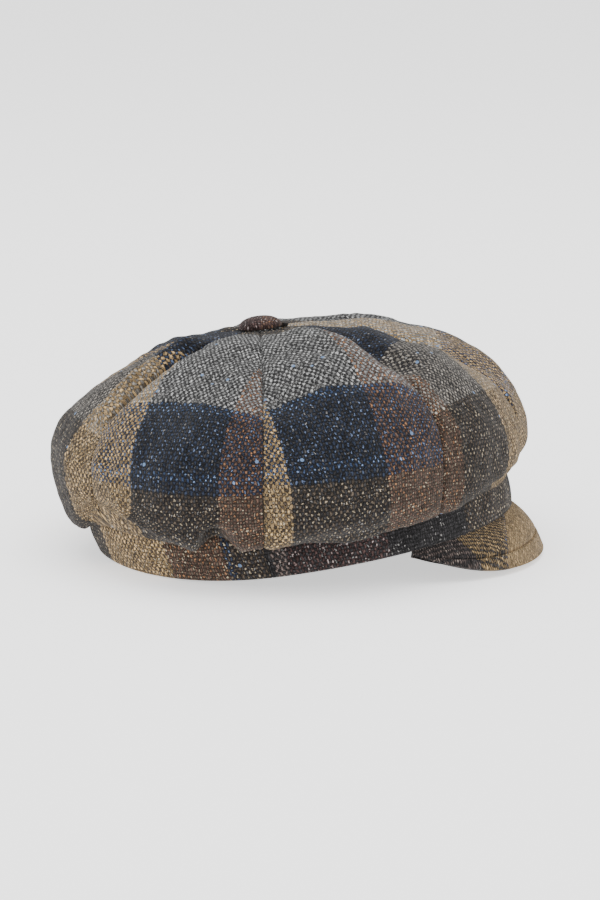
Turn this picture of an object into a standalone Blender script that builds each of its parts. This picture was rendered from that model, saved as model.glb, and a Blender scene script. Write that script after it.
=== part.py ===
"""A soft wool baker-boy cap: eight gores, a two-piece band, a short peak and a covered button.

The cap lies on the plane z = 0, on the back of its band and on the edge of its peak.
It faces -Y, and the wearer's right side is at -X. Lengths are in metres, +Z is up.
An angle round the cap is 0 at the front, 90 at the wearer's right and 180 at the back.
"""
import math

import bmesh
import bpy
from mathutils import Vector

# Head opening and band
HEAD_LENGTH = 0.195
HEAD_WIDTH = 0.170
BAND_WALL = 0.0025
BAND_HEIGHT = 0.024
BAND_BOW = 0.0012
BAND_LEAN = math.radians(16.0)

# How the cap lies: its front is tipped up, and the back of the band lies flat
TIP_UP = math.radians(9.6)
FLAT_LENGTH = 0.065
BEND_LENGTH = 0.040

# Crown
CROWN_HEIGHT = 0.1062
CROWN_REACH = 0.112
CROWN_SET_BACK = 0.0215
BUTTON_SLOPE = math.radians(6.0)
WALL = 0.002
SIDE_GORE_SPAN = 47.0
TIP_RADIUS = 0.0035
TUCK_START = 0.86

# Swelling of a gore: its height, how round it is, the share of it that lies under the base
# surface at a seam, and where on the way down it begins and flattens again
PUFF = 0.0042
PUFF_ROUND = 0.8
PUFF_SINK = 0.55
PUFF_BEGIN = 0.03
PUFF_FULL = 0.25
PUFF_FADE = 0.75
PUFF_LOSS = 0.75

# Button
BUTTON_DIAMETER = 0.021
BUTTON_HEIGHT = 0.0052
BUTTON_ROUND = 0.8

# Peak
PEAK_SPAN = 104.0
PEAK_REACH = 0.0145
PEAK_THICKNESS = 0.004
PEAK_CORNER = 0.001
PEAK_BOW = 0.0018
PEAK_CURVE = 2.2
PEAK_DROOP = 5
PEAK_REST = 0.6
PEAK_THINNING = 0.5
PEAK_THIN_CURVE = 4

# Clearance between pieces that meet
GAP = 0.0003
HEM_GAP = 0.0006

# Facets
GORE_COLUMNS = 12
CROWN_ROWS = 13
LIP_ROWS = 9
BAND_COLUMNS = 32
BAND_ROWS = 3
PEAK_COLUMNS = 28
PEAK_ROWS = 6
BUTTON_SIDES = 24
BUTTON_RINGS = 5

# Steps that a direction is measured over: degrees, and shares of the way
ANGLE_STEP = 0.5
DOWN_STEP = 0.004
PEAK_ACROSS_STEP = 0.02
PEAK_DOWN_STEP = 0.05
TIP_STEP = 0.001
EDGE_SHARE = 0.999

# Sections of the crown from front to back, alike on both sides.
# reach is a share of CROWN_REACH, height a share of CROWN_HEIGHT, and hem and hang are
# shares of BAND_HEIGHT: where the gore meets the band, and how far the cloth sags below that.
# top, side, belly and flare are the fullness of the curve, as shares of its spans.
SECTIONS = (
    # angle, reach, height, top, side, belly, flare, hem, hang
    (0, 0.945, 0.530, 0.62, 0.63, 0.55, 0.45, 0.50, -0.12),
    (45, 0.945, 0.525, 0.71, 0.73, 0.75, 0.60, 0.60, 0.12),
    (90, 0.995, 0.485, 0.67, 0.66, 0.85, 0.75, 0.75, 0.28),
    (135, 1.060, 0.475, 0.50, 0.48, 0.75, 0.72, 0.85, 0.28),
    (180, 1.070, 0.465, 0.44, 0.44, 0.36, 0.45, 0.85, 0.62),
)

# Folds and swellings of the cloth. down is 0 at the button and 1 at the band.
# length and width are shares of CROWN_REACH, and rise is a share of PUFF, below 0 for a crease.
# FOLD_RUN is the way down as a share of CROWN_REACH. Above FOLD_NECK the folds draw together
# to the button, and they fade out below FOLD_TOP and over the last FOLD_HEM_FADE of the way.
FOLD_RUN = 1.6
FOLD_NECK = 0.6
FOLD_TOP = 0.04
FOLD_TOP_FADE = 0.1
FOLD_HEM_FADE = 0.08
FOLDS = (
    # angle, down, turn, length, width, rise
    (108, 0.84, 40, 0.19, 0.090, -1.7),
    (96, 0.83, 10, 0.14, 0.110, 0.6),
    (121, 0.82, 20, 0.16, 0.100, 0.8),
    (131, 0.32, 84, 0.40, 0.070, 0.9),
    (60, 0.20, 70, 0.22, 0.110, 1.0),
    (44, 0.20, 80, 0.24, 0.055, -0.9),
    (70, 0.80, 8, 0.22, 0.090, -0.6),
    (240, 0.80, -30, 0.18, 0.100, -1.2),
    (300, 0.78, 15, 0.18, 0.100, -0.8),
)

BAND_A = HEAD_LENGTH / 2 + BAND_WALL
BAND_B = HEAD_WIDTH / 2 + BAND_WALL
FLAT_END = BAND_A - FLAT_LENGTH
BUTTON_PLACE = Vector((0.0, CROWN_SET_BACK, CROWN_HEIGHT))
BAND_UP = Vector((0.0, math.sin(BAND_LEAN), math.cos(BAND_LEAN)))
BULGE_SHARE = CROWN_ROWS / (CROWN_ROWS + LIP_ROWS)


def outward(angle):
    """Level direction at an angle in degrees round the cap."""
    turn = math.radians(angle)
    return Vector((-math.sin(turn), -math.cos(turn), 0.0))


def rim_height(y):
    """Height of the band's lower edge: level at the back, then rising to the front."""
    ahead = FLAT_END - y
    if ahead <= -BEND_LENGTH:
        return 0.0
    if ahead < BEND_LENGTH:
        return math.tan(TIP_UP) * (ahead + BEND_LENGTH) ** 2 / (4 * BEND_LENGTH)
    return math.tan(TIP_UP) * ahead


def rim_point(angle, outset=0.0):
    """Point of the band's lower edge, moved out from its outer face by the outset."""
    turn = math.radians(angle)
    normal = Vector((-math.sin(turn) / BAND_B, -math.cos(turn) / BAND_A, 0.0)).normalized()
    flat = Vector((-BAND_B * math.sin(turn), -BAND_A * math.cos(turn), 0.0)) + normal * outset
    flat.z = rim_height(flat.y)
    return flat


def band_face(angle, up, outset=0.0):
    """Point of the band's outer face at a share of its height, moved out by the outset."""
    bow = BAND_BOW * math.sin(math.pi * up)
    return rim_point(angle, bow + outset) + BAND_UP * BAND_HEIGHT * up


def smooth_step(share):
    """Smooth rise from 0 to 1 as the share goes from 0 to 1."""
    share = min(max(share, 0.0), 1.0)
    return share * share * (3 - 2 * share)


def section(angle):
    """Row of the table of sections at any angle, on a smooth curve through the rows."""
    step = SECTIONS[1][0] - SECTIONS[0][0]
    place = abs((angle + 180) % 360 - 180) / step
    index = min(int(place), len(SECTIONS) - 2)
    share = place - index
    rows = [SECTIONS[abs(index - 1)], SECTIONS[index], SECTIONS[index + 1]]
    rows.append(SECTIONS[min(index + 2, 2 * len(SECTIONS) - 4 - index)])
    values = []
    for before, start, end, after in zip(*(row[1:] for row in rows)):
        slope = (end - before) * share
        curve = (2 * before - 5 * start + 4 * end - after) * share ** 2
        twist = (3 * start - before - 3 * end + after) * share ** 3
        values.append(start + (slope + curve + twist) / 2)
    return values


def bezier(points, share):
    """Point of a cubic curve."""
    rest = 1 - share
    weights = (rest ** 3, 3 * rest ** 2 * share, 3 * rest * share ** 2, share ** 3)
    return sum((point * weight for point, weight in zip(points, weights)), Vector())


def base_point(angle, down):
    """Point of the crown's outer face before its gores are puffed."""
    reach, height, top, side, belly, flare, hem_share, hang = section(angle)
    bulge = outward(angle) * reach * CROWN_REACH
    bulge.z = height * CROWN_HEIGHT
    if down < BULGE_SHARE:
        level = (bulge - BUTTON_PLACE) * Vector((1, 1, 0))
        level.z = -level.y * math.tan(BUTTON_SLOPE)
        rise = Vector((0, 0, CROWN_HEIGHT - bulge.z))
        curve = (BUTTON_PLACE, BUTTON_PLACE + level * top, bulge + rise * side, bulge)
        return bezier(curve, down / BULGE_SHARE)
    hem = band_face(angle, hem_share, HEM_GAP)
    fall = Vector((0, 0, bulge.z - hem.z))
    span = (bulge - hem) * Vector((1, 1, 0))
    curve = (bulge, bulge - fall * belly, hem + span * flare - BAND_UP * hang * BAND_HEIGHT, hem)
    return bezier(curve, (down - BULGE_SHARE) / (1 - BULGE_SHARE))


def base_frame(angle, down):
    """Point, normal and level tangent of the unpuffed crown."""
    point = base_point(angle, down)
    around = base_point(angle + ANGLE_STEP, down) - base_point(angle - ANGLE_STEP, down)
    below = base_point(angle, min(down + DOWN_STEP, 1.0))
    along = below - base_point(angle, max(down - DOWN_STEP, 0.0))
    around.normalize()
    tuck = smooth_step((down - TUCK_START) / (1 - TUCK_START))
    normal = around.cross(along).normalized().lerp(-BAND_UP, tuck)
    return point, (normal - around * normal.dot(around)).normalized(), around


def puff(share, down):
    """How far a gore swells out at a share of its width."""
    swell = math.sin(math.pi * share) ** PUFF_ROUND - PUFF_SINK
    start = smooth_step((down - PUFF_BEGIN) / (PUFF_FULL - PUFF_BEGIN))
    end = 1 - PUFF_LOSS * smooth_step((down - PUFF_FADE) / (1 - PUFF_FADE))
    return PUFF * swell * start * end


def folds(angle, down):
    """Sum of the folds at a place of the crown."""
    total = 0.0
    for place, depth, turn, length, width, rise in FOLDS:
        level = math.radians((angle - place + 180) % 360 - 180) * smooth_step(down / FOLD_NECK)
        drop = (down - depth) * FOLD_RUN
        slant = math.radians(turn)
        along = (level * math.cos(slant) + drop * math.sin(slant)) / length
        across = (drop * math.cos(slant) - level * math.sin(slant)) / width
        total += rise * PUFF * math.exp(-along ** 2 - across ** 2)
    fade = smooth_step((1 - down) / FOLD_HEM_FADE) * smooth_step((down - FOLD_TOP) / FOLD_TOP_FADE)
    return total * fade


def new_object(name, mesh_data, material, smooth_angle=50.0):
    """Turn a bmesh into a named object with smooth shading and its material."""
    bmesh.ops.recalc_face_normals(mesh_data, faces=mesh_data.faces)
    if mesh_data.calc_volume(signed=True) < 0:
        bmesh.ops.reverse_faces(mesh_data, faces=mesh_data.faces)
    mesh = bpy.data.meshes.new(name)
    mesh_data.to_mesh(mesh)
    mesh_data.free()
    mesh.shade_smooth()
    mesh.set_sharp_from_angle(angle=math.radians(smooth_angle))
    mesh.materials.append(material)
    item = bpy.data.objects.new(name, mesh)
    bpy.context.collection.objects.link(item)
    return item


def cloth_sheet(columns, rows, place):
    """Closed sheet from a grid: place gives the outer and the inner point of each corner."""
    sheet = bmesh.new()
    bmesh.ops.create_grid(sheet, x_segments=columns, y_segments=rows, size=0.5)
    shares = {vert: (vert.co.x + 0.5, 0.5 - vert.co.y) for vert in sheet.verts}
    copied = bmesh.ops.extrude_face_region(sheet, geom=sheet.faces[:], use_keep_orig=True)
    inner = [item for item in copied["geom"] if isinstance(item, bmesh.types.BMVert)]
    for vert in inner:
        vert.co = place(vert.co.x + 0.5, 0.5 - vert.co.y)[1]
    for vert, (across, down) in shares.items():
        vert.co = place(across, down)[0]
    return sheet


def tip_share():
    """Share of the way down at which the gores begin, under the button."""
    down = 0.0
    while (base_point(0.0, down) - BUTTON_PLACE).length < TIP_RADIUS:
        down += TIP_STEP
    return down


def make_gore(name, first, last, start, material):
    """One gore between two seams, puffed between them."""
    def place(across, share):
        down = start + (1 - start) * share
        angle = first + (last - first) * across
        point, normal, around = base_frame(angle, down)
        point = point + normal * (puff(across, down) + folds(angle, down))
        side = (0.5 - across) * 2
        if abs(side) > EDGE_SHARE:
            point = point + around * math.copysign(GAP / 2, side)
        return point, point - normal * WALL

    return new_object(name, cloth_sheet(GORE_COLUMNS, CROWN_ROWS + LIP_ROWS, place), material)


def make_band(name, first, last, material):
    """Half of the band, between the two side seams."""
    def place(across, down):
        angle = first + (last - first) * across
        side = (0.5 - across) * 2
        turn = rim_point(angle + ANGLE_STEP) - rim_point(angle - ANGLE_STEP)
        shift = turn.normalized() * (side * GAP / 2 if abs(side) > EDGE_SHARE else 0.0)
        outer = band_face(angle, 1 - down)
        inner = band_face(angle, 1 - down, -BAND_WALL)
        return outer + shift, inner + shift

    return new_object(name, cloth_sheet(BAND_COLUMNS, BAND_ROWS, place), material)


def peak_surface(across, down):
    """Point of the peak's upper face: across runs from -1 to 1, down from the band to the edge."""
    angle = across * PEAK_SPAN / 2
    root = rim_point(angle)
    root.z -= GAP
    corner = abs(across)
    forward = PEAK_REACH * math.cos(math.pi / 2 * corner ** PEAK_CURVE)
    edge = root + outward(angle) * PEAK_CORNER + Vector((0, -forward, 0))
    lowest = PEAK_THICKNESS * PEAK_REST
    edge.z = lowest + (root.z - PEAK_CORNER - lowest) * corner ** PEAK_DROOP
    point = root.lerp(edge, down)
    swell = PEAK_BOW * math.sin(math.pi * down) * (1 - corner ** 2)
    return point + (outward(angle) + Vector((0, 0, 1))) * swell


def make_peak(material):
    """The short stiff peak under the front of the band."""
    def place(share, down):
        across = share * 2 - 1
        point = peak_surface(across, down)
        right = peak_surface(max(across - PEAK_ACROSS_STEP, -1), down)
        around = peak_surface(min(across + PEAK_ACROSS_STEP, 1), down) - right
        above = peak_surface(across, max(down - PEAK_DOWN_STEP, 0))
        along = peak_surface(across, min(down + PEAK_DOWN_STEP, 1)) - above
        thickness = PEAK_THICKNESS * (1 - PEAK_THINNING * abs(across) ** PEAK_THIN_CURVE)
        inner = point - around.cross(along).normalized() * thickness
        inner.z = min(max(inner.z, 0.0), rim_height(inner.y) - GAP)
        return point, inner

    return new_object("peak", cloth_sheet(PEAK_COLUMNS, PEAK_ROWS, place), material, 40.0)


def make_button(material):
    """The cloth-covered button: a dome on a flat base, seated over the tips of the gores."""
    dome = bmesh.new()
    profile = []
    for ring in range(BUTTON_RINGS + 1):
        turn = math.pi / 2 * ring / BUTTON_RINGS
        radius = BUTTON_DIAMETER / 2 * math.cos(turn) ** BUTTON_ROUND
        profile.append(dome.verts.new((radius, 0, BUTTON_HEIGHT * math.sin(turn))))
    profile.insert(0, dome.verts.new((0, 0, 0)))
    profile[-1].co.x = 0.0
    edges = [dome.edges.new(pair) for pair in zip(profile, profile[1:])]
    bmesh.ops.spin(dome, geom=profile + edges, axis=(0, 0, 1), cent=(0, 0, 0),
                   angle=math.tau, steps=BUTTON_SIDES, use_merge=True)
    bmesh.ops.remove_doubles(dome, verts=dome.verts, dist=0.00001)
    item = new_object("button", dome, material, 60.0)
    item.rotation_euler.x = -BUTTON_SLOPE
    item.location = BUTTON_PLACE + Vector((0, 0, GAP))
    return item


def wool(name, colour):
    """Rough woven wool of one main colour."""
    material = bpy.data.materials.new(name)
    material.use_nodes = True
    shader = material.node_tree.nodes["Principled BSDF"]
    shader.inputs["Base Color"].default_value = (*colour, 1.0)
    shader.inputs["Roughness"].default_value = 0.95
    shader.inputs["Metallic"].default_value = 0.0
    return material


def centre_on_origin(items):
    """Move every piece so that the cap's footprint is centred on the origin."""
    bpy.context.view_layer.update()
    corners = [item.matrix_world @ vert.co for item in items for vert in item.data.vertices]
    middle = Vector((
        (min(corner.x for corner in corners) + max(corner.x for corner in corners)) / 2,
        (min(corner.y for corner in corners) + max(corner.y for corner in corners)) / 2,
        0.0,
    ))
    for item in items:
        item.location -= middle


def seam_angles():
    """Angles of the eight seams: the side gores are wider than those at the front and back."""
    end = 90.0 - SIDE_GORE_SPAN
    half = (0.0, end, 90.0, 180.0 - end)
    return half + tuple(180.0 + angle for angle in half) + (360.0,)


def build_cap():
    """Build every piece of the cap."""
    for item in list(bpy.data.objects):
        bpy.data.objects.remove(item, do_unlink=True)
    plaid = wool("plaid_wool", (0.075, 0.072, 0.078))
    items = []
    start = tip_share()
    seams = seam_angles()
    for number, (first, last) in enumerate(zip(seams, seams[1:]), start=1):
        items.append(make_gore(f"gore_{number}", first, last, start, plaid))
    items.append(make_band("band_front", -90.0, 90.0, wool("band_wool", (0.07, 0.055, 0.05))))
    items.append(make_band("band_back", 90.0, 270.0, bpy.data.materials["band_wool"]))
    items.append(make_peak(wool("peak_wool", (0.16, 0.13, 0.10))))
    items.append(make_button(wool("button_wool", (0.12, 0.06, 0.045))))
    centre_on_origin(items)


build_cap()
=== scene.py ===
"""Visual model of a soft wool baker-boy cap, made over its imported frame.

The cap faces -Y and the wearer's right side is at -X. Lengths are in metres.
An angle round the cap is 0 at the front, 90 at the wearer's right and 180 at the back.
"down" runs from 0 at the button to 1 at the band.
"""
import logging
import math
from dataclasses import dataclass, field
from enum import Enum

import bmesh
import bpy
import numpy as np
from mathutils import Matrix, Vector


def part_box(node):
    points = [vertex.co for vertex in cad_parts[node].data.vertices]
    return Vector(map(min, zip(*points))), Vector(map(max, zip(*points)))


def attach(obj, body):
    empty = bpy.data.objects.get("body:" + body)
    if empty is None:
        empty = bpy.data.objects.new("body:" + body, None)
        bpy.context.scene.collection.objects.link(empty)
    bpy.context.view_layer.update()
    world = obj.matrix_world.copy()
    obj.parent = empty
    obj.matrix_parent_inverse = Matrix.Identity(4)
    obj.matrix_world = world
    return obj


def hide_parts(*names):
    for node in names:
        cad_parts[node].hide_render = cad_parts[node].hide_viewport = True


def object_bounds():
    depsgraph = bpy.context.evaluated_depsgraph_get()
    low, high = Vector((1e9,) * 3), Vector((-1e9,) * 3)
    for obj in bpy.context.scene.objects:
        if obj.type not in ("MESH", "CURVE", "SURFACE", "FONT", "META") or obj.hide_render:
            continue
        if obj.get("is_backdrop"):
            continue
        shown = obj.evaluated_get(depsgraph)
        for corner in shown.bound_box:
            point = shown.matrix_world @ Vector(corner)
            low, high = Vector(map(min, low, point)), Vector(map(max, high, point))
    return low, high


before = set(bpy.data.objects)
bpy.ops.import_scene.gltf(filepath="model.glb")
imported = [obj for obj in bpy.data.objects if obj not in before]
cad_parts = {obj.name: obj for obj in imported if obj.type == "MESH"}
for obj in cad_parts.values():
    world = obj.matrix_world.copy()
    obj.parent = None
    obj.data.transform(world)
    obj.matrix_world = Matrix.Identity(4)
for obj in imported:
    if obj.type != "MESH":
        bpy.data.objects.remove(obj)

logging.basicConfig(level=logging.INFO, format="%(message)s")
LOG = logging.getLogger("cap")


def smooth_step(share: np.ndarray) -> np.ndarray:
    """Smooth rise from 0 to 1.

    Args:
        share: values, where 0 is the start of the rise and 1 its end.
    Returns:
        The risen values.
    """
    share = np.clip(share, 0.0, 1.0)
    return share * share * (3 - 2 * share)


def unit(vectors: np.ndarray) -> np.ndarray:
    """Vectors of length one.

    Args:
        vectors: array whose last axis is x, y, z.
    Returns:
        The same directions at length one.
    """
    return vectors / np.maximum(np.linalg.norm(vectors, axis=-1, keepdims=True), 1e-12)


def ripple(across: np.ndarray, along: np.ndarray, seed: int, waves: int, reach: float) -> np.ndarray:
    """Soft random swell of cloth, the same at each run.

    Args:
        across: lengths in the first direction.
        along: lengths in the second direction.
        seed: number that picks the pattern.
        waves: how many waves are added up.
        reach: length of the longest wave.
    Returns:
        Values of about -1 to 1.
    """
    numbers = np.random.default_rng(seed)
    total = np.zeros_like(across)
    for _ in range(waves):
        turn = numbers.uniform(0.0, math.tau)
        length = reach * numbers.uniform(0.45, 1.0)
        phase = numbers.uniform(0.0, math.tau)
        way = across * math.cos(turn) + along * math.sin(turn)
        total += np.sin(way * math.tau / length + phase)
    return total / math.sqrt(waves)


# ---------------------------------------------------------------- form


@dataclass(frozen=True)
class CapForm:
    """Rest shape of the cap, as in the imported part."""

    band_a: float = 0.100
    band_b: float = 0.0875
    band_wall: float = 0.0025
    band_height: float = 0.024
    band_bow: float = 0.0012
    band_lean: float = math.radians(16.0)
    tip_up: float = math.radians(9.6)
    flat_length: float = 0.065
    bend_length: float = 0.040
    crown_height: float = 0.1062
    crown_reach: float = 0.112
    crown_set_back: float = 0.0215
    button_slope: float = math.radians(6.0)
    hem_gap: float = 0.0006
    crown_share: float = 13 / 22
    tip_share: float = 0.034
    sections: tuple = (
        # reach, height, top, side, belly, flare, hem, hang; one row each 45 degrees from the front
        (0.945, 0.530, 0.62, 0.63, 0.55, 0.45, 0.50, -0.12),
        (0.945, 0.525, 0.71, 0.73, 0.75, 0.60, 0.60, 0.12),
        (0.995, 0.485, 0.67, 0.66, 0.85, 0.75, 0.75, 0.28),
        (1.060, 0.475, 0.50, 0.48, 0.75, 0.72, 0.85, 0.28),
        (1.070, 0.465, 0.44, 0.44, 0.36, 0.45, 0.85, 0.62),
    )

    @property
    def shift(self) -> float:
        """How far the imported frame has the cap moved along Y."""
        return float(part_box("band_front")[0][1]) + self.band_a

    @property
    def band_up(self) -> np.ndarray:
        """Direction up along the band's face."""
        return np.array([0.0, math.sin(self.band_lean), math.cos(self.band_lean)])

    @property
    def button_place(self) -> np.ndarray:
        """Middle of the button's seat."""
        return np.array([0.0, self.crown_set_back, self.crown_height])

    def outward(self, angle: np.ndarray) -> np.ndarray:
        """Level direction.

        Args:
            angle: degrees round the cap.
        Returns:
            Directions of length one.
        """
        turn = np.radians(angle)
        return np.stack([-np.sin(turn), -np.cos(turn), np.zeros_like(turn)], axis=-1)

    def rim_height(self, y: np.ndarray) -> np.ndarray:
        """Height of the band's lower edge.

        Args:
            y: places from front to back.
        Returns:
            Heights over the floor.
        """
        ahead = self.band_a - self.flat_length - y
        slope = math.tan(self.tip_up)
        bend = slope * (ahead + self.bend_length) ** 2 / (4 * self.bend_length)
        return np.where(ahead <= -self.bend_length, 0.0, np.where(ahead < self.bend_length, bend, slope * ahead))

    def rim_point(self, angle: np.ndarray, outset: np.ndarray) -> np.ndarray:
        """Points of the band's lower edge.

        Args:
            angle: degrees round the cap.
            outset: how far out of the outer face.
        Returns:
            The points.
        """
        turn = np.radians(angle)
        flat = self.outward(angle) * np.array([self.band_b, self.band_a, 0.0])
        normal = unit(self.outward(angle) * np.array([1 / self.band_b, 1 / self.band_a, 0.0]))
        flat = flat + normal * np.broadcast_to(outset, turn.shape)[..., None]
        flat[..., 2] = self.rim_height(flat[..., 1])
        return flat

    def band_face(self, angle: np.ndarray, up: np.ndarray, outset: np.ndarray) -> np.ndarray:
        """Points of the band's outer face.

        Args:
            angle: degrees round the cap.
            up: shares of the band's height.
            outset: how far out of the face.
        Returns:
            The points.
        """
        bow = self.band_bow * np.sin(np.pi * up)
        return self.rim_point(angle, bow + outset) + self.band_up * self.band_height * np.asarray(up)[..., None]

    def section(self, angle: np.ndarray) -> np.ndarray:
        """Row of the sections at any angle.

        Args:
            angle: degrees round the cap.
        Returns:
            The eight columns, first axis.
        """
        rows = np.array(self.sections)
        place = np.abs((angle + 180) % 360 - 180) / 45.0
        index = np.minimum(place.astype(int), len(rows) - 2)
        share = (place - index)[..., None]
        before = rows[np.abs(index - 1)]
        start = rows[index]
        end = rows[index + 1]
        after = rows[np.minimum(index + 2, 2 * len(rows) - 4 - index)]
        slope = (end - before) * share
        curve = (2 * before - 5 * start + 4 * end - after) * share ** 2
        twist = (3 * start - before - 3 * end + after) * share ** 3
        return np.moveaxis(start + (slope + curve + twist) / 2, -1, 0)

    @staticmethod
    def bezier(points: tuple, share: np.ndarray) -> np.ndarray:
        """Points of cubic curves.

        Args:
            points: the four points of each curve.
            share: place on each curve.
        Returns:
            The points.
        """
        share = share[..., None]
        rest = 1 - share
        weights = (rest ** 3, 3 * rest ** 2 * share, 3 * rest * share ** 2, share ** 3)
        return sum(point * weight for point, weight in zip(points, weights))

    def base_point(self, angle: np.ndarray, down: np.ndarray) -> np.ndarray:
        """Points of the crown before its gores are puffed.

        Args:
            angle: degrees round the cap.
            down: shares of the way from the button to the band.
        Returns:
            The points.
        """
        reach, height, top, side, belly, flare, hem_share, hang = self.section(angle)
        bulge = self.outward(angle) * (reach * self.crown_reach)[..., None]
        bulge[..., 2] = height * self.crown_height
        seat = np.broadcast_to(self.button_place, bulge.shape)
        level = (bulge - seat) * np.array([1.0, 1.0, 0.0])
        level[..., 2] = -level[..., 1] * math.tan(self.button_slope)
        rise = np.zeros_like(bulge)
        rise[..., 2] = self.crown_height - bulge[..., 2]
        upper = (seat, seat + level * top[..., None], bulge + rise * side[..., None], bulge)
        above = self.bezier(upper, np.clip(down / self.crown_share, 0.0, 1.0))
        hem = self.band_face(angle, hem_share, self.hem_gap)
        fall = np.zeros_like(bulge)
        fall[..., 2] = bulge[..., 2] - hem[..., 2]
        span = (bulge - hem) * np.array([1.0, 1.0, 0.0])
        sag = self.band_up * (hang * self.band_height)[..., None]
        lower = (bulge, bulge - fall * belly[..., None], hem + span * flare[..., None] - sag, hem)
        below = self.bezier(lower, np.clip((down - self.crown_share) / (1 - self.crown_share), 0.0, 1.0))
        return np.where((down < self.crown_share)[..., None], above, below)

    def base_frame(self, angle: np.ndarray, down: np.ndarray) -> tuple:
        """Points, normals and level tangents of the unpuffed crown.

        Args:
            angle: degrees round the cap.
            down: shares of the way from the button to the band.
        Returns:
            The three arrays.
        """
        point = self.base_point(angle, down)
        around = unit(self.base_point(angle + 0.5, down) - self.base_point(angle - 0.5, down))
        along = self.base_point(angle, np.minimum(down + 0.004, 1.0))
        along = along - self.base_point(angle, np.maximum(down - 0.004, 0.0))
        normal = unit(np.cross(around, along))
        turn_in = smooth_step((down - 0.86) / 0.14)[..., None]
        normal = normal * (1 - turn_in) - self.band_up * turn_in
        normal = normal - around * np.sum(normal * around, axis=-1, keepdims=True)
        return point, unit(normal), around


# ---------------------------------------------------------------- finishes


class Nodes:
    """Small helper that adds shader nodes and joins them."""

    def __init__(self, material: bpy.types.Material) -> None:
        """Clears the material's nodes.

        Args:
            material: the material to fill.
        """
        material.use_nodes = True
        self.tree = material.node_tree
        self.tree.nodes.clear()

    def add(self, kind: str, inputs: dict | None = None, **settings: object) -> bpy.types.Node:
        """Adds a node.

        Args:
            kind: node type.
            inputs: values or sockets by input name or number.
            settings: attributes of the node.
        Returns:
            The node.
        """
        node = self.tree.nodes.new(kind)
        for name, value in settings.items():
            setattr(node, name, value)
        for name, value in (inputs or {}).items():
            self.feed(node.inputs[name], value)
        return node

    def feed(self, socket: bpy.types.NodeSocket, value: object) -> None:
        """Links a socket, or sets its constant.

        Args:
            socket: the input.
            value: an output socket or a constant.
        """
        if isinstance(value, bpy.types.NodeSocket):
            self.tree.links.new(value, socket)
        else:
            socket.default_value = value

    def sum_up(self, operation: str, *values: object, clamp: bool = False) -> bpy.types.NodeSocket:
        """Adds a math node.

        Args:
            operation: its operation.
            values: one to three values or sockets.
            clamp: whether the result stays from 0 to 1.
        Returns:
            The result's socket.
        """
        node = self.add("ShaderNodeMath", dict(enumerate(values)), operation=operation, use_clamp=clamp)
        return node.outputs[0]

    def blend(self, share: object, first: object, second: object, mode: str = "MIX") -> bpy.types.NodeSocket:
        """Mixes two colours.

        Args:
            share: how much of the second.
            first: colour or socket.
            second: colour or socket.
            mode: blend type.
        Returns:
            The mixed colour's socket.
        """
        node = self.add("ShaderNodeMix", {0: share, 6: first, 7: second}, data_type="RGBA", blend_type=mode)
        return node.outputs[2]

    def step(self, value: object, low: float, high: float) -> bpy.types.NodeSocket:
        """Soft step.

        Args:
            value: socket.
            low: where the step starts.
            high: where it ends.
        Returns:
            Socket that goes from 0 to 1.
        """
        node = self.add("ShaderNodeMapRange", {0: value, 1: low, 2: high}, interpolation_type="SMOOTHSTEP")
        return node.outputs[0]

    def noise(self, vector: object, scale: float, detail: float = 2.0) -> bpy.types.NodeSocket:
        """Noise from about 0.2 to 0.8.

        Args:
            vector: place.
            scale: cells for each unit of length.
            detail: how many finer layers.
        Returns:
            Socket of the value.
        """
        node = self.add("ShaderNodeTexNoise", {"Vector": vector, "Scale": scale, "Detail": detail})
        return node.outputs["Fac"]

    def vector(self, x: object, y: object, z: object = 0.0) -> bpy.types.NodeSocket:
        """Vector from three values.

        Args:
            x: first value or socket.
            y: second.
            z: third.
        Returns:
            The vector's socket.
        """
        return self.add("ShaderNodeCombineXYZ", {0: x, 1: y, 2: z}).outputs[0]


def paint(red: int, green: int, blue: int) -> tuple:
    """Colour for a shader.

    Args:
        red: 0 to 255.
        green: 0 to 255.
        blue: 0 to 255.
    Returns:
        Linear red, green, blue and alpha.
    """
    shares = [channel / 255 for channel in (red, green, blue)]
    linear = [share / 12.92 if share < 0.04045 else ((share + 0.055) / 1.055) ** 2.4 for share in shares]
    return (*linear, 1.0)


class Yarn(Enum):
    """Yarns of the cloth: main colour, colour of its flecks and the share of flecks."""

    CHARCOAL = ((46, 45, 46), (112, 110, 108), 0.12)
    BEIGE = ((182, 154, 112), (64, 54, 46), 0.36)
    BROWN = ((90, 70, 60), (146, 104, 70), 0.30)
    WHITE = ((158, 158, 157), (58, 58, 60), 0.34)
    ASH = ((140, 134, 126), (72, 68, 66), 0.28)
    NAVY = ((44, 51, 67), (94, 108, 136), 0.30)
    BLUE = ((48, 60, 84), (110, 130, 162), 0.50)
    TAUPE = ((76, 67, 58), (148, 136, 116), 0.36)
    GREY = ((104, 92, 88), (150, 138, 130), 0.25)
    RUST = ((70, 54, 52), (140, 130, 128), 0.26)


@dataclass(frozen=True)
class Stripe:
    """One stripe of the plaid."""

    yarn: Yarn
    width: float


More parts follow.
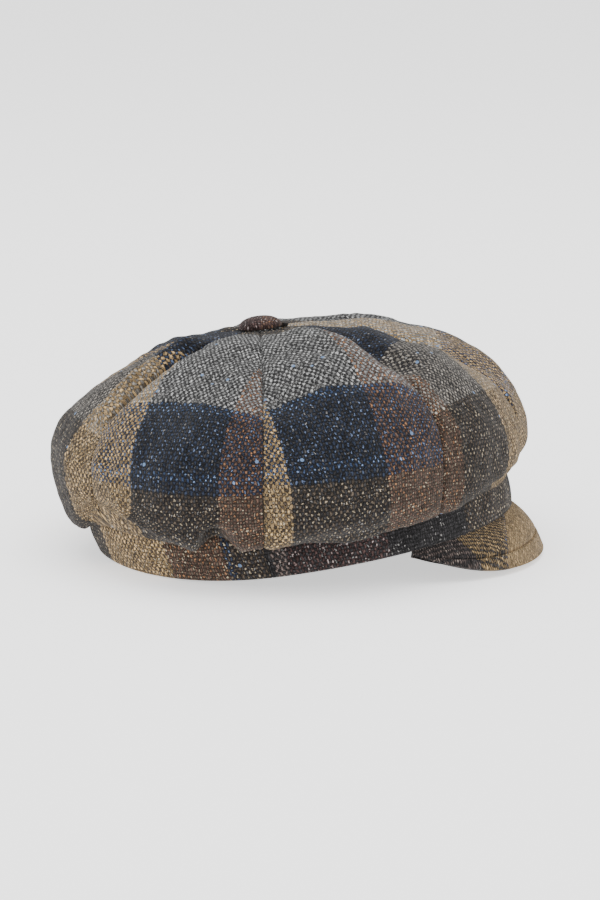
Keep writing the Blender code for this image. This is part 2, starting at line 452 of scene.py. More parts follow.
@dataclass(frozen=True)
class Tweed:
    """Woven plaid wool in cloth coordinates, which are the piece's UV map in metres."""

    name: str
    warp: tuple
    weft: tuple
    warp_pitch: float = 0.00130
    weft_pitch: float = 0.00180
    relief: float = 0.0003
    gain: float = 0.80

    def ramp(self, nodes: Nodes, place: bpy.types.NodeSocket, stripes: tuple, part: int) -> bpy.types.Node:
        """Colours of a set of stripes that comes again and again.

        Args:
            nodes: the material's nodes.
            place: length across the stripes, 0 at the start of the first.
            stripes: the stripes.
            part: 0 for the main colours, 1 for the flecks.
        Returns:
            The ramp, whose alpha is the share of flecks.
        """
        whole = sum(stripe.width for stripe in stripes)
        share = nodes.sum_up("FRACT", nodes.sum_up("DIVIDE", place, whole))
        node = nodes.add("ShaderNodeValToRGB", {0: share})
        ramp = node.color_ramp
        ramp.interpolation = "CONSTANT"
        ramp.elements.remove(ramp.elements[1])
        start = 0.0
        for number, stripe in enumerate(stripes):
            stop = ramp.elements[0] if number == 0 else ramp.elements.new(start / whole)
            stop.position = start / whole
            red, green, blue, _ = paint(*stripe.yarn.value[part])
            stop.color = (red * self.gain, green * self.gain, blue * self.gain, stripe.yarn.value[2])
            start += stripe.width
        return node

    def thread(self, nodes: Nodes, number: object, other: object, along: object, crest: object, pitch: float,
               stripes: tuple, seed: float) -> bpy.types.NodeSocket:
        """Colour of the yarns of one direction.

        Args:
            nodes: the material's nodes.
            number: yarn numbers.
            other: numbers of the yarns that they cross.
            along: length along the yarns.
            crest: 1 on top of a float and 0 at its sides.
            pitch: distance between the yarns.
            stripes: the stripes of that direction.
            seed: keeps the two directions apart.
        Returns:
            Socket of the colour.
        """
        place = nodes.sum_up("MULTIPLY", nodes.sum_up("ADD", number, 0.5), pitch)
        chance = nodes.add("ShaderNodeTexWhiteNoise", {"Vector": nodes.vector(number, other, seed)})
        draw = nodes.add("ShaderNodeSeparateXYZ", {0: chance.outputs["Color"]})
        main = self.ramp(nodes, place, stripes, 0)
        fleck = self.ramp(nodes, place, stripes, 1)
        flecked = nodes.step(nodes.sum_up("ADD", draw.outputs[1], main.outputs[1]), 0.90, 1.10)
        flecked = nodes.sum_up("MULTIPLY", flecked, crest)
        colour = nodes.blend(flecked, main.outputs[0], fleck.outputs[0])
        long_run = nodes.noise(nodes.vector(nodes.sum_up("MULTIPLY", number, 3.1),
                                            nodes.sum_up("MULTIPLY", along, 60.0), seed + 9.0), 1.0, 1.0)
        light = nodes.sum_up("MULTIPLY_ADD", draw.outputs[0], 0.7, 0.15)
        light = nodes.sum_up("MULTIPLY_ADD", long_run, 1.0, light)
        return nodes.blend(1.0, colour, nodes.vector(light, light, light), "MULTIPLY")

    def build(self) -> bpy.types.Material:
        """Makes the material.

        Returns:
            The material.
        """
        material = bpy.data.materials.new(self.name)
        nodes = Nodes(material)
        cloth = nodes.add("ShaderNodeUVMap", uv_map="cloth").outputs[0]
        parts = nodes.add("ShaderNodeSeparateXYZ", {0: cloth})
        across, along = parts.outputs[0], parts.outputs[1]
        sway = nodes.add("ShaderNodeTexNoise", {"Vector": cloth, "Scale": 260.0, "Detail": 1.0})
        pull = nodes.add("ShaderNodeSeparateXYZ", {0: sway.outputs["Color"]})
        fray = nodes.add("ShaderNodeTexNoise", {"Vector": cloth, "Scale": 1100.0, "Detail": 2.0})
        hair = nodes.add("ShaderNodeSeparateXYZ", {0: fray.outputs["Color"]})
        warp = self.yarn_place(nodes, across, self.warp_pitch, pull.outputs[0], hair.outputs[0])
        weft = self.yarn_place(nodes, along, self.weft_pitch, pull.outputs[1], hair.outputs[1])
        warp_number = nodes.sum_up("FLOOR", warp)
        weft_number = nodes.sum_up("FLOOR", weft)
        fuzz = nodes.noise(cloth, 1900.0, 3.0)
        warp_rise = self.rise(nodes, warp, weft, warp_number, 1.0)
        weft_rise = self.rise(nodes, weft, warp, weft_number, -1.0)
        lead = nodes.sum_up("SUBTRACT", warp_rise, weft_rise)
        lead = nodes.sum_up("ADD", lead, nodes.sum_up("MULTIPLY_ADD", fuzz, 1.6, -0.8))
        on_top = nodes.step(lead, -0.25, 0.25)
        height = nodes.sum_up("MAXIMUM", warp_rise, weft_rise)
        crest = nodes.step(nodes.sum_up("MULTIPLY_ADD", fuzz, 0.8, height), 1.10, 1.45)
        warp_colour = self.thread(nodes, warp_number, weft_number, along, crest, self.warp_pitch, self.warp, 1.0)
        weft_colour = self.thread(nodes, weft_number, warp_number, across, crest, self.weft_pitch, self.weft, 4.0)
        colour = nodes.blend(on_top, weft_colour, warp_colour)
        # Painted shade: the colour is darkened in the pits between the yarns, away from the top of each float; the
        # fuzz noise then makes fibres lighter or darker at random.
        depth = nodes.step(height, 0.56, 1.10)
        shade = nodes.sum_up("MULTIPLY_ADD", depth, 1.15, 0.42)
        shade = nodes.sum_up("MULTIPLY_ADD", nodes.sum_up("SUBTRACT", fuzz, 0.5), 2.4, shade)
        colour = nodes.blend(1.0, colour, nodes.vector(shade, shade, shade), "MULTIPLY")
        colour = self.neps(nodes, cloth, colour)
        rough = nodes.sum_up("ADD", height, nodes.sum_up("MULTIPLY", fuzz, 0.5))
        bump = nodes.add("ShaderNodeBump", {"Strength": 1.0, "Distance": self.relief, "Height": rough})
        shader = nodes.add("ShaderNodeBsdfPrincipled", {
            "Base Color": colour, "Roughness": 0.95, "Normal": bump.outputs[0],
            "Specular IOR Level": 0.1, "Sheen Weight": 0.08, "Sheen Roughness": 0.5})
        nodes.add("ShaderNodeOutputMaterial", {0: shader.outputs[0]})
        return material

    @staticmethod
    def yarn_place(nodes: Nodes, length: object, pitch: float, pull: object, hair: object) -> bpy.types.NodeSocket:
        """Place across the yarns, a little uneven as in a loose weave.

        Args:
            nodes: the material's nodes.
            length: length across the yarns.
            pitch: distance between the yarns.
            pull: slow noise.
            hair: fine noise.
        Returns:
            Socket of the place, in yarns.
        """
        place = nodes.sum_up("DIVIDE", length, pitch)
        place = nodes.sum_up("MULTIPLY_ADD", pull, 1.5, place)
        return nodes.sum_up("MULTIPLY_ADD", hair, 1.3, place)

    @staticmethod
    def rise(nodes: Nodes, own: object, other: object, number: object, sign: float) -> bpy.types.NodeSocket:
        """Height of the yarns of one direction as they go over and under the others.

        Args:
            nodes: the material's nodes.
            own: place across the yarns, in yarns.
            other: place along them, in yarns of the other direction.
            number: their numbers.
            sign: 1 for the warp, -1 for the weft.
        Returns:
            Socket of the height.
        """
        round_part = nodes.sum_up("SINE", nodes.sum_up("MULTIPLY", nodes.sum_up("FRACT", own), math.pi))
        turn = nodes.sum_up("MULTIPLY", nodes.sum_up("SUBTRACT", nodes.sum_up("ADD", other, number), 0.5), math.pi)
        over = nodes.sum_up("MULTIPLY", nodes.sum_up("COSINE", turn), 0.5 * sign)
        return nodes.sum_up("MULTIPLY_ADD", round_part, 0.5, over)

    @staticmethod
    def neps(nodes: Nodes, cloth: object, colour: object) -> bpy.types.NodeSocket:
        """Adds sparse knots of bright wool.

        Args:
            nodes: the material's nodes.
            cloth: cloth coordinates.
            colour: the cloth's colour.
        Returns:
            Socket of the colour.
        """
        cells = nodes.add("ShaderNodeTexVoronoi", {"Vector": cloth, "Scale": 150.0})
        pick = nodes.add("ShaderNodeSeparateXYZ", {0: cells.outputs["Color"]})
        rare = nodes.sum_up("GREATER_THAN", pick.outputs[0], 0.90)
        near = nodes.sum_up("LESS_THAN", cells.outputs["Distance"], 0.13)
        kind = nodes.add("ShaderNodeValToRGB", {0: pick.outputs[1]})
        kind.color_ramp.interpolation = "CONSTANT"
        kind.color_ramp.elements[0].color = paint(110, 136, 172)
        kind.color_ramp.elements[1].position = 0.45
        kind.color_ramp.elements[1].color = paint(160, 78, 48)
        kind.color_ramp.elements.new(0.75).color = paint(190, 182, 168)
        share = nodes.sum_up("MULTIPLY", nodes.sum_up("MULTIPLY", rare, near), 0.8)
        return nodes.blend(share, colour, kind.outputs[0])


@dataclass(frozen=True)
class Plain:
    """Even finish without a pattern."""

    name: str
    colour: tuple
    roughness: float = 0.9
    glow: float = 0.0

    def build(self) -> bpy.types.Material:
        """Makes the material.

        Returns:
            The material.
        """
        material = bpy.data.materials.new(self.name)
        nodes = Nodes(material)
        shader = nodes.add("ShaderNodeBsdfPrincipled", {
            "Base Color": paint(*self.colour), "Roughness": self.roughness, "Specular IOR Level": 0.1,
            "Emission Color": paint(*self.colour), "Emission Strength": self.glow})
        nodes.add("ShaderNodeOutputMaterial", {0: shader.outputs[0]})
        return material


# ---------------------------------------------------------------- cloth pieces


@dataclass
class ClothPiece:
    """A piece of cloth with an outer and an inner face, from a grid."""

    name: str
    columns: int
    rows: int

    def shares(self) -> tuple:
        """Shares across and down at each corner of the grid.

        Returns:
            Two arrays of rows by columns.
        """
        return np.meshgrid(np.linspace(0.0, 1.0, self.columns + 1), np.linspace(0.0, 1.0, self.rows + 1))

    def stitch(self, outer: np.ndarray, inner: np.ndarray, cloth: np.ndarray) -> bpy.types.Object:
        """Builds the closed piece.

        Args:
            outer: points of the outer face, rows by columns.
            inner: points of the inner face.
            cloth: cloth coordinates in metres.
        Returns:
            The object.
        """
        sheet = bmesh.new()
        bmesh.ops.create_grid(sheet, x_segments=self.columns, y_segments=self.rows, size=0.5)
        copied = bmesh.ops.extrude_face_region(sheet, geom=sheet.faces[:], use_keep_orig=True)
        inside = [item for item in copied["geom"] if isinstance(item, bmesh.types.BMVert)]
        bmesh.ops.translate(sheet, verts=inside, vec=(0.0, 0.0, -1.0))
        bmesh.ops.recalc_face_normals(sheet, faces=sheet.faces)
        mesh = bpy.data.meshes.new(self.name)
        sheet.to_mesh(mesh)
        sheet.free()
        flat = np.empty(len(mesh.vertices) * 3)
        mesh.vertices.foreach_get("co", flat)
        flat = flat.reshape(-1, 3)
        column = np.rint((flat[:, 0] + 0.5) * self.columns).astype(int)
        row = np.rint((0.5 - flat[:, 1]) * self.rows).astype(int)
        within = flat[:, 2] < -0.5
        points = np.where(within[:, None], inner[row, column], outer[row, column])
        mesh.vertices.foreach_set("co", points.ravel())
        corners = np.empty(len(mesh.loops), dtype=np.int32)
        mesh.loops.foreach_get("vertex_index", corners)
        layer = mesh.uv_layers.new(name="cloth")
        layer.data.foreach_set("uv", cloth[row, column][corners].ravel())
        mesh.update()
        self.face_out(mesh)
        mesh.shade_smooth()
        mesh.set_sharp_from_angle(angle=math.radians(60.0))
        item = bpy.data.objects.new(self.name, mesh)
        bpy.context.collection.objects.link(item)
        return item

    @staticmethod
    def face_out(mesh: bpy.types.Mesh) -> None:
        """Turns the faces over if the solid is inside out.

        Args:
            mesh: a closed mesh.
        """
        body = bmesh.new()
        body.from_mesh(mesh)
        if body.calc_volume(signed=True) < 0:
            bmesh.ops.reverse_faces(body, faces=body.faces)
            body.to_mesh(mesh)
        body.free()


@dataclass(frozen=True)
class SeamRoll:
    """A roll or a valley of the cloth beside a seam."""

    side: int
    start: float
    end: float
    width: float
    height: float
    crease: float = 0.0

    def lift(self, across: np.ndarray, run: np.ndarray, half: np.ndarray) -> np.ndarray:
        """How far the roll stands out.

        Args:
            across: length across the gore.
            run: length down it.
            half: half the width of each row.
        Returns:
            Lengths along the normal.
        """
        away = half - self.side * across
        window = smooth_step((run - self.start) / 0.012) * smooth_step((self.end - run) / 0.018)
        bump = self.height * np.exp(-((away - self.width / 2) / (self.width / 2.4)) ** 2)
        return window * (bump - self.crease * np.exp(-((away - self.width * 1.1) / 0.002) ** 2))


class Lay(Enum):
    """Which way up a gore was cut from the plaid."""

    STRAIGHT = 1
    TURNED = -1


@dataclass
class Gore(ClothPiece):
    """One gore of the crown between two seams."""

    form: CapForm = field(default_factory=CapForm)
    first: float = 0.0
    last: float = 45.0
    lay: Lay = Lay.STRAIGHT
    warp_centre: float = 0.0
    weft_centre: float = 0.12
    seed: int = 1
    wall: float = 0.002
    puff_height: float = 0.0042
    seam_gap: float = 0.0001
    roll_radius: float = 0.0016
    roll_depth: float = 0.0009
    folds: tuple = ()
    rolls: tuple = ()
    hem_lifts: tuple = ()
    drift: tuple = (0.0, 1.0, 0.0, 0.0)

    def hem_lift(self, angle: np.ndarray, down: np.ndarray) -> np.ndarray:
        """How far the overhang is drawn up along the band.

        Args:
            angle: degrees round the cap.
            down: shares of the way down.
        Returns:
            Lengths up.
        """
        total = np.zeros_like(angle)
        for start, end, ramp, rise, kept in self.hem_lifts:
            window = smooth_step((angle - start) / ramp) * smooth_step((end - angle) / ramp)
            fade = 1 - (1 - kept) * smooth_step((down - 0.90) / 0.10)
            total += rise * window * smooth_step((down - 0.64) / 0.22) * fade
        return total

    def puff(self, share: np.ndarray, down: np.ndarray) -> np.ndarray:
        """How far the gore swells out.

        Args:
            share: shares across the gore.
            down: shares of the way down.
        Returns:
            Lengths along the normal.
        """
        swell = np.maximum(np.sin(np.pi * share), 0.0) ** 0.8 - 0.55
        start = smooth_step((down - 0.03) / 0.22)
        end = 1 - 0.75 * smooth_step((down - 0.75) / 0.25)
        return self.puff_height * swell * start * end

    def fold_depth(self, angle: np.ndarray, down: np.ndarray) -> np.ndarray:
        """Sum of the folds.

        Args:
            angle: degrees round the cap.
            down: shares of the way down.
        Returns:
            Lengths along the normal.
        """
        total = np.zeros_like(angle)
        for place, depth, turn, length, width, rise in self.folds:
            level = np.radians((angle - place + 180) % 360 - 180) * smooth_step(down / 0.6)
            drop = (down - depth) * 1.6
            slant = math.radians(turn)
            along = (level * math.cos(slant) + drop * math.sin(slant)) / length
            across = (drop * math.cos(slant) - level * math.sin(slant)) / width
            total += rise * self.puff_height * np.exp(-along ** 2 - across ** 2)
        return total * smooth_step((1 - down) / 0.08) * smooth_step((down - 0.04) / 0.1)

    def lengths(self, point: np.ndarray) -> tuple:
        """Lengths on the cloth.

        Args:
            point: points of the outer face, rows by columns.
        Returns:
            Length across from the centreline, length down it, and half the width of each row.
        """
        middle = self.columns // 2
        steps = np.linalg.norm(np.diff(point, axis=1), axis=2)
        across = np.concatenate([np.zeros((self.rows + 1, 1)), np.cumsum(steps, axis=1)], axis=1)
        across = across - across[:, middle:middle + 1]
        falls = np.linalg.norm(np.diff(point[:, middle], axis=0), axis=1)
        run = np.concatenate([[0.0], np.cumsum(falls)])
        return across, run, (across[:, -1] - across[:, 0]) / 2

    def build(self) -> bpy.types.Object:
        """Builds the gore.

        Returns:
            The object.
        """
        share, level = self.shares()
        down = self.form.tip_share + (1 - self.form.tip_share) * level
        angle = self.first + (self.last - self.first) * share
        point, normal, around = self.form.base_frame(angle, down)
        across, run, half = self.lengths(point)
        to_seam = half[:, None] - np.abs(across)
        height = self.puff(share, down) + self.fold_depth(angle, down)
        height += self.wrinkles(across, run[:, None], to_seam, down)
        height += sum(roll.lift(across, run[:, None], half[:, None]) for roll in self.rolls)
        point = point + normal * height[..., None]
        side = np.where(share < 0.0005, 1.0, np.where(share > 0.9995, -1.0, 0.0))
        point = point + around * (side * self.seam_gap / 2)[..., None]
        point = point + self.form.band_up * self.hem_lift(angle, down)[..., None]
        inner = point - normal * self.wall
        point[..., 1] += self.form.shift
        inner[..., 1] += self.form.shift
        return self.stitch(point, inner, self.cloth_map(across, run, half))

    def wrinkles(self, across: np.ndarray, run: np.ndarray, to_seam: np.ndarray, down: np.ndarray) -> np.ndarray:
        """Small swells, seam rolls and puckers.

        Args:
            across: length across the gore.
            run: length down it.
            to_seam: length to the nearer seam.
            down: shares of the way down.
        Returns:
            Lengths along the normal.
        """
        swell = ripple(across, run + np.zeros_like(across), self.seed, 9, 0.045) * 0.0007
        small = ripple(across, run + np.zeros_like(across), self.seed + 50, 12, 0.014) * 0.00022
        near = np.clip(1 - to_seam / self.roll_radius, 0.0, 1.0)
        roll = -self.roll_depth * (1 - np.sqrt(np.maximum(1 - near ** 2, 0.0)))
        pucker = ripple(run + np.zeros_like(across), across * 0.15, self.seed + 90, 8, 0.016)
        pucker = pucker * 0.00045 * np.exp(-to_seam / 0.007)
        open_part = smooth_step(down / 0.12) * smooth_step((1 - down) / 0.06) * smooth_step(to_seam / 0.0035)
        return (swell + small + pucker) * open_part + roll * smooth_step((1 - down) / 0.05)

    def cloth_map(self, across: np.ndarray, run: np.ndarray, half: np.ndarray) -> np.ndarray:
        """Cloth coordinates, with straight yarns as on a panel cut flat.

        Args:
            across: length across the gore.
            run: length down its centreline.
            half: half the width of each row.
        Returns:
            Coordinates for each corner of the grid.
        """
        spread = np.gradient(half, run) / np.maximum(half, 1e-4)
        kernel = np.hanning(19)
        spread = np.convolve(np.pad(spread, 9, mode="edge"), kernel / kernel.sum(), mode="valid")
        fall = run[:, None] + 0.0035 - spread[:, None] * across ** 2 / 2
        sign = self.lay.value
        start, end, reach, squeeze = self.drift
        share = smooth_step((run[:, None] - start) / (end - start))
        place = (across - self.warp_centre - reach * share) * (1 + squeeze * share)
        return np.stack([sign * place, sign * (fall - self.weft_centre)], axis=-1)


@dataclass
class BandHalf(ClothPiece):
    """Half of the band between the two side seams."""

    form: CapForm = field(default_factory=CapForm)
    first: float = -90.0
    last: float = 90.0
    seam_gap: float = 0.0003
    edge_radius: float = 0.0012
    seed: int = 21

    def build(self) -> bpy.types.Object:
        """Builds the half.

        Returns:
            The object.
        """
        share, down = self.shares()
        angle = self.first + (self.last - self.first) * share
        turn = unit(self.form.rim_point(angle + 0.5, 0.0) - self.form.rim_point(angle - 0.5, 0.0))
        side = np.where(share < 0.0005, 1.0, np.where(share > 0.9995, -1.0, 0.0))
        shift = turn * (side * self.seam_gap / 2)[..., None]
        arc = np.cumsum(np.linalg.norm(np.diff(self.form.rim_point(angle, 0.0), axis=1), axis=2), axis=1)
        arc = np.concatenate([np.zeros((self.rows + 1, 1)), arc], axis=1)
        to_edge = np.minimum(down, 1 - down) * self.form.band_height
        near = np.clip(1 - to_edge / self.edge_radius, 0.0, 1.0)
        tuck = self.edge_radius * 0.8 * (1 - np.sqrt(np.maximum(1 - near ** 2, 0.0)))
        swell = ripple(arc, down * self.form.band_height, self.seed, 8, 0.03) * 0.0003
        swell = swell * smooth_step(np.minimum(down, 1 - down) / 0.3)
        outer = self.form.band_face(angle, 1 - down, swell - tuck) + shift
        inner = self.form.band_face(angle, 1 - down, -self.form.band_wall + tuck) + shift
        outer[..., 1] += self.form.shift
        inner[..., 1] += self.form.shift
        cloth = np.stack([arc, (1 - down) * self.form.band_height], axis=-1)
        return self.stitch(outer, inner, cloth)


@dataclass
class Peak(ClothPiece):
    """The short stiff peak."""

    form: CapForm = field(default_factory=CapForm)
    span: float = 104.0
    reach: float = 0.0145
    thickness: float = 0.004
    corner_out: float = 0.001
    bow: float = 0.0018
    gap: float = -0.0002
    skew: float = 0.18
    slope_length: float = 1.35
    cloth_start: float = 0.1
    topstitch_place: float = 0.68
    topstitch_depth: float = 0.0007

    def surface(self, across: np.ndarray, down: np.ndarray) -> np.ndarray:
        """Points of the upper face.

        Args:
            across: -1 to 1 from side to side.
            down: 0 at the band to 1 at the edge.
        Returns:
            The points.
        """
        angle = across * self.span / 2
        root = self.form.rim_point(angle, 0.0)
        root[..., 2] -= self.gap
        corner = np.abs(across)
        forward = self.reach * np.cos(np.pi / 2 * corner ** 2.2)
        edge = root + self.form.outward(angle) * self.corner_out
        edge[..., 1] -= forward
        lowest = self.thickness * 0.6
        edge[..., 2] = lowest + (root[..., 2] - self.corner_out - lowest) * corner ** 5
        root = root - self.form.outward(angle) * 0.0008
        point = root + (edge - root) * down[..., None]
        swell = self.bow * np.sin(np.pi * down) * (1 - corner ** 2)
        swell = swell - self.topstitch_depth * np.exp(-((down - self.topstitch_place) / 0.022) ** 2)
        return point + (self.form.outward(angle) + np.array([0.0, 0.0, 1.0])) * swell[..., None]

    def build(self) -> bpy.types.Object:
        """Builds the peak.

        Returns:
            The object.
        """
        share, down = self.shares()
        across = share * 2 - 1
        point = self.surface(across, down)
        around = self.surface(np.minimum(across + 0.02, 1.0), down) - self.surface(np.maximum(across - 0.02, -1.0), down)
        along = self.surface(across, np.minimum(down + 0.05, 1.0)) - self.surface(across, np.maximum(down - 0.05, 0.0))
        normal = unit(np.cross(around, along))
        thickness = self.thickness * (1 - 0.5 * np.abs(across) ** 4)
        inner = point - normal * thickness[..., None]
        limit = self.form.rim_height(inner[..., 1]) - self.gap
        inner[..., 2] = np.minimum(np.maximum(inner[..., 2], 0.0), limit)
        cloth = np.stack([point[..., 0], -point[..., 1] + self.skew * point[..., 0]], axis=-1)
        cloth = cloth * self.slope_length + self.cloth_start
        point[..., 1] += self.form.shift
        inner[..., 1] += self.form.shift
        return self.stitch(point, inner, cloth)


@dataclass
class Button:
    """The cloth-covered button on top."""

    form: CapForm = field(default_factory=CapForm)
    diameter: float = 0.021
    height: float = 0.0052
    gap: float = 0.0003
    sides: int = 96
    rings: int = 24

    def build(self) -> bpy.types.Object:
        """Builds the button.

        Returns:
            The object.
        """
        dome = bmesh.new()
        profile = [dome.verts.new((0.0, 0.0, 0.0))]
        for ring in range(self.rings + 1):
            turn = math.pi / 2 * ring / self.rings
            radius = self.diameter / 2 * math.cos(turn) ** 0.8
            profile.append(dome.verts.new((radius, 0.0, self.height * math.sin(turn))))
        profile[-1].co.x = 0.0
        edges = [dome.edges.new(pair) for pair in zip(profile, profile[1:])]
        bmesh.ops.spin(dome, geom=profile + edges, axis=(0, 0, 1), cent=(0, 0, 0),
                       angle=math.tau, steps=self.sides, use_merge=True)
        bmesh.ops.remove_doubles(dome, verts=dome.verts, dist=0.00001)
        bmesh.ops.recalc_face_normals(dome, faces=dome.faces)
        layer = dome.loops.layers.uv.new("cloth")
        for face in dome.faces:
            for loop in face.loops:
                loop[layer].uv = (loop.vert.co.x, loop.vert.co.y)
        slope = self.form.button_slope
        for vert in dome.verts:
            height = vert.co.z * math.cos(slope) - vert.co.y * math.sin(slope)
            vert.co.y = vert.co.z * math.sin(slope) + vert.co.y * math.cos(slope)
            vert.co.z = height
            vert.co += Vector(self.form.button_place) + Vector((0.0, self.form.shift, self.gap))
        mesh = bpy.data.meshes.new("button_cover")
        dome.to_mesh(mesh)
        dome.free()
        mesh.shade_smooth()
        item = bpy.data.objects.new("button_cover", mesh)
        bpy.context.collection.objects.link(item)
        return item


# ---------------------------------------------------------------- the whole cap


@dataclass
class Cap:
    """All the pieces of the cap and their finishes."""

    form: CapForm = field(default_factory=CapForm)
    side_gore_span: float = 47.0
    gore_columns: int = 110
    gore_rows: int = 160
    folds: tuple = (
        # angle, down, turn, length, width, rise
        (101, 0.86, 75, 0.15, 0.055, -1.4),
        (92, 0.83, 10, 0.12, 0.110, 0.3),
        (117, 0.80, 15, 0.14, 0.090, 0.6),
        (131, 0.32, 84, 0.40, 0.070, 0.9),
        (60, 0.20, 70, 0.22, 0.110, 1.0),
        (44, 0.20, 80, 0.24, 0.055, -0.9),
        (70, 0.80, 8, 0.22, 0.090, -0.6),
        (240, 0.80, -30, 0.18, 0.100, -1.2),
        (300, 0.78, 15, 0.18, 0.100, -0.8),
    )
    rolls: dict = field(default_factory=lambda: {
        1: (SeamRoll(1, 0.012, 0.090, 0.014, -0.0050),),
        2: (SeamRoll(-1, 0.016, 0.100, 0.024, 0.0040),),
        3: (SeamRoll(1, 0.026, 0.095, 0.008, -0.0042),),
        4: (SeamRoll(-1, 0.018, 0.100, 0.011, 0.0062, 0.0012),),
    })
    hem_lifts: tuple = (
        # start, end, ramp, rise, share of it kept at the hem
        (105, 152, 18, 0.0150, 0.0),
        (94.5, 107.5, 6.5, 0.0120, 0.38),
        (142, 214, 20, -0.0030, 0.0),
        (-60, 44, 26, 0.0058, 0.60),
        (316, 420, 26, 0.0058, 0.60),
    )
    drifts: dict = field(default_factory=lambda: {
        # start and end down the gore, shift across, squeeze
        1: (0.066, 0.108, 0.012, 0.36),
        2: (0.095, 0.150, -0.005, 0.0),
        4: (0.070, 0.110, -0.005, 0.0),
    })
    gores: tuple = (
        # lay, centre of the charcoal stripe across, centre of the navy stripe down
        (Lay.TURNED, -0.0015, 0.036),
        (Lay.STRAIGHT, 0.016, 0.113),
        (Lay.STRAIGHT, -0.003, 0.1085),
        (Lay.TURNED, 0.0015, 0.022),
        (Lay.TURNED, 0.010, 0.036),
        (Lay.STRAIGHT, -0.006, 0.110),
        (Lay.STRAIGHT, 0.012, 0.112),
        (Lay.STRAIGHT, -0.027, 0.100),
    )

    def seams(self) -> tuple:
        """Angles of the eight seams.

        Returns:
            Nine angles, from the front round to it again.
        """
        end = 90.0 - self.side_gore_span
        half = (0.0, end, 90.0, 180.0 - end)
        return half + tuple(180.0 + angle for angle in half) + (360.0,)

    def dress(self, item: bpy.types.Object, material: bpy.types.Material, node: str) -> None:
        """Gives a piece its finish and its place in the frame.

        Args:
            item: the piece.
            material: its finish.
            node: the node it stands for.
        """
        item.data.materials.append(material)
        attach(item, "root")
        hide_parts(node)
        LOG.info("%s: %d faces, stands for %s", item.name, len(item.data.polygons), node)

    def build(self) -> None:
        """Builds all the pieces."""
        wide = 0.045
        warp = (Stripe(Yarn.CHARCOAL, wide / 2), Stripe(Yarn.BEIGE, wide),
                Stripe(Yarn.BROWN, wide), Stripe(Yarn.CHARCOAL, wide / 2))
        crown = {
            Lay.STRAIGHT: Tweed(
                "crown_tweed", warp=warp,
                weft=(Stripe(Yarn.NAVY, 0.012), Stripe(Yarn.BLUE, 0.004), Stripe(Yarn.NAVY, 0.006),
                      Stripe(Yarn.TAUPE, 0.047), Stripe(Yarn.WHITE, 0.075), Stripe(Yarn.BLUE, 0.005),
                      Stripe(Yarn.NAVY, 0.017))).build(),
            Lay.TURNED: Tweed(
                "crown_tweed_turned", warp=warp,
                weft=(Stripe(Yarn.NAVY, 0.023), Stripe(Yarn.TAUPE, 0.075), Stripe(Yarn.ASH, 0.047),
                      Stripe(Yarn.NAVY, 0.023))).build(),
        }
        seams = self.seams()
        for index, (lay, warp_centre, weft_centre) in enumerate(self.gores):
            gore = Gore(f"gore_{index + 1}_cloth", self.gore_columns, self.gore_rows, form=self.form,
                        first=seams[index], last=seams[index + 1], lay=lay, warp_centre=warp_centre,
                        weft_centre=weft_centre, seed=index + 1, folds=self.folds,
                        rolls=self.rolls.get(index + 1, ()), hem_lifts=self.hem_lifts,
                        drift=self.drifts.get(index + 1, (0.0, 1.0, 0.0, 0.0)))
            self.dress(gore.build(), crown[lay], f"gore_{index + 1}")
        # The band's tweeds use a higher gain (1.05 and 1.1) than the crown's 0.80, so the same yarns come out lighter
        # on the band: partly the band's own colour and partly painted light against the shade under the crown's
        # overhang.
        front = Tweed(
            "band_front_tweed",
            warp=(Stripe(Yarn.CHARCOAL, 0.060), Stripe(Yarn.RUST, 0.047), Stripe(Yarn.CHARCOAL, 0.041),
                  Stripe(Yarn.TAUPE, 0.052), Stripe(Yarn.CHARCOAL, 0.043), Stripe(Yarn.RUST, 0.047),
                  Stripe(Yarn.GREY, 0.007)),
            weft=(Stripe(Yarn.CHARCOAL, 0.1), Stripe(Yarn.TAUPE, 0.1)), gain=1.05).build()
        back = Tweed(
            "band_back_tweed",
            warp=(Stripe(Yarn.CHARCOAL, 0.016), Stripe(Yarn.NAVY, 0.004), Stripe(Yarn.BROWN, 0.030),
                  Stripe(Yarn.BEIGE, 0.047), Stripe(Yarn.CHARCOAL, 0.045), Stripe(Yarn.BROWN, 0.045),
                  Stripe(Yarn.BEIGE, 0.047), Stripe(Yarn.CHARCOAL, 0.080)),
            weft=(Stripe(Yarn.TAUPE, 0.1), Stripe(Yarn.NAVY, 0.1)), gain=1.1).build()
        half = BandHalf("band_front_cloth", 260, 24, form=self.form, first=-90.0, last=90.0)
        self.dress(half.build(), front, "band_front")
        half = BandHalf("band_back_cloth", 260, 24, form=self.form, first=90.0, last=270.0, seed=22)
        self.dress(half.build(), back, "band_back")
        peak = Tweed(
            "peak_tweed",
            warp=(Stripe(Yarn.GREY, 0.030), Stripe(Yarn.BEIGE, 0.140), Stripe(Yarn.GREY, 0.030)),
            weft=(Stripe(Yarn.CHARCOAL, 0.2276), Stripe(Yarn.BLUE, 0.0025), Stripe(Yarn.BEIGE, 0.090)),
            warp_pitch=0.0011, weft_pitch=0.0015, gain=0.64).build()
        self.dress(Peak("peak_cloth", 160, 90, form=self.form).build(), peak, "peak")
        button = Tweed("button_tweed", warp=(Stripe(Yarn.RUST, 0.2), Stripe(Yarn.RUST, 0.1)),
                       weft=(Stripe(Yarn.RUST, 0.2), Stripe(Yarn.BROWN, 0.1)), warp_pitch=0.0011,
                       weft_pitch=0.0013, gain=0.95).build()
        self.dress(Button(form=self.form).build(), button, "button")


# ---------------------------------------------------------------- studio


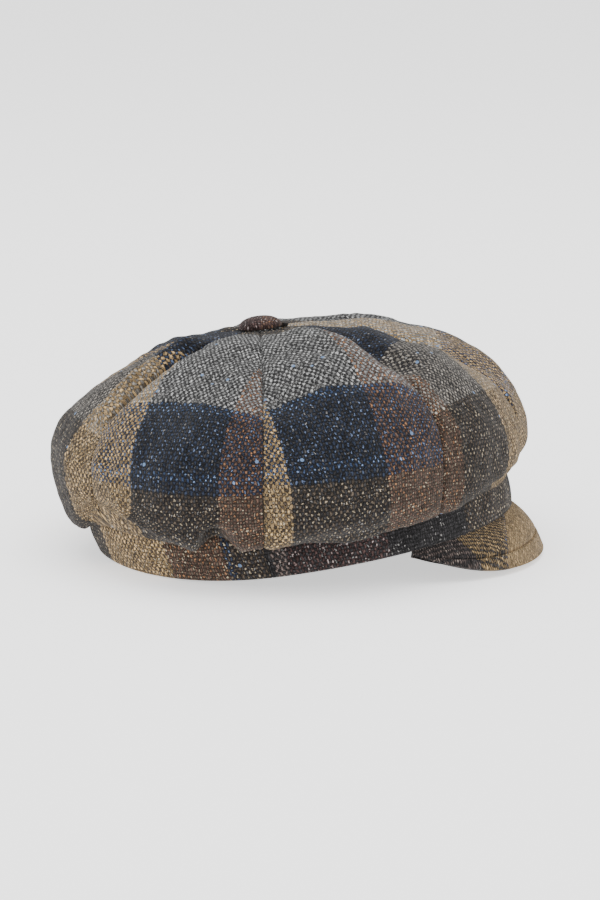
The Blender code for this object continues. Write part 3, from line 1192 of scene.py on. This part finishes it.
@dataclass
class Studio:
    """Floor, light and camera."""

    azimuth: float = math.radians(-80.3)
    elevation: float = math.radians(12.0)
    distance: float = 1.3
    lens: float = 108.16
    floor_grey: tuple = (250, 250, 250)

    def camera(self, shift: float) -> None:
        """Sets the camera at the photo's angle.

        Args:
            shift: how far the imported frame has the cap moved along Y.
        """
        back = Vector((math.sin(self.azimuth) * math.cos(self.elevation),
                       -math.cos(self.azimuth) * math.cos(self.elevation), math.sin(self.elevation)))
        right = Vector((math.cos(self.azimuth), math.sin(self.azimuth), 0.0))
        up = back.cross(right)
        aim = Vector((0.0, shift, 0.05)) - right * 0.00216 - up * 0.00284
        data = bpy.data.cameras.new("camera")
        data.lens = self.lens
        data.clip_end = 20.0
        item = bpy.data.objects.new("camera", data)
        item.location = aim + back * self.distance
        item.rotation_euler = back.to_track_quat("Z", "Y").to_euler()
        bpy.context.collection.objects.link(item)
        bpy.context.scene.camera = item

    def floor(self) -> None:
        """Lays a plain pale floor."""
        ground = bmesh.new()
        bmesh.ops.create_grid(ground, x_segments=40, y_segments=40, size=15.0)
        mesh = bpy.data.meshes.new("floor")
        ground.to_mesh(mesh)
        ground.free()
        mesh.materials.append(Plain("floor_paper", self.floor_grey, 1.0, 1.0).build())
        item = bpy.data.objects.new("floor", mesh)
        bpy.context.collection.objects.link(item)
        item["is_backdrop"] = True

    def light(self, name: str, place: Vector, size: float, power: float) -> None:
        """Adds a soft lamp that faces the cap.

        Args:
            name: its name.
            place: where it is.
            size: its width.
            power: watts.
        """
        data = bpy.data.lights.new(name, "AREA")
        data.shape = "DISK"
        data.size = size
        data.energy = power
        item = bpy.data.objects.new(name, data)
        item.location = place
        item.rotation_euler = (place - Vector((0.0, 0.0, 0.05))).to_track_quat("Z", "Y").to_euler()
        bpy.context.collection.objects.link(item)

    def build(self, shift: float) -> None:
        """Builds the studio.

        Args:
            shift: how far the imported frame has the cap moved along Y.
        """
        self.floor()
        self.camera(shift)
        self.light("top_lamp", Vector((-0.4, 0.0, 2.6)), 3.0, 70.0)
        world = bpy.data.worlds.new("studio")
        world.use_nodes = True
        world.node_tree.nodes["Background"].inputs[0].default_value = (1.0, 1.0, 1.0, 1.0)
        world.node_tree.nodes["Background"].inputs[1].default_value = 1.15
        bpy.context.scene.world = world


def note_size(name: str, sizes: dict) -> None:
    """Adds the scene's bounds to the size notes.

    Args:
        name: which moment this is.
        sizes: the notes.
    """
    sizes[name] = [[round(float(value), 5) for value in corner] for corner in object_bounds()]


def main() -> None:
    """Builds the cap and its studio."""
    sizes: dict = {}
    note_size("frame", sizes)
    cap = Cap()
    cap.build()
    Studio().build(cap.form.shift)
    note_size("scene", sizes)


if __name__ == "__main__":
    main()
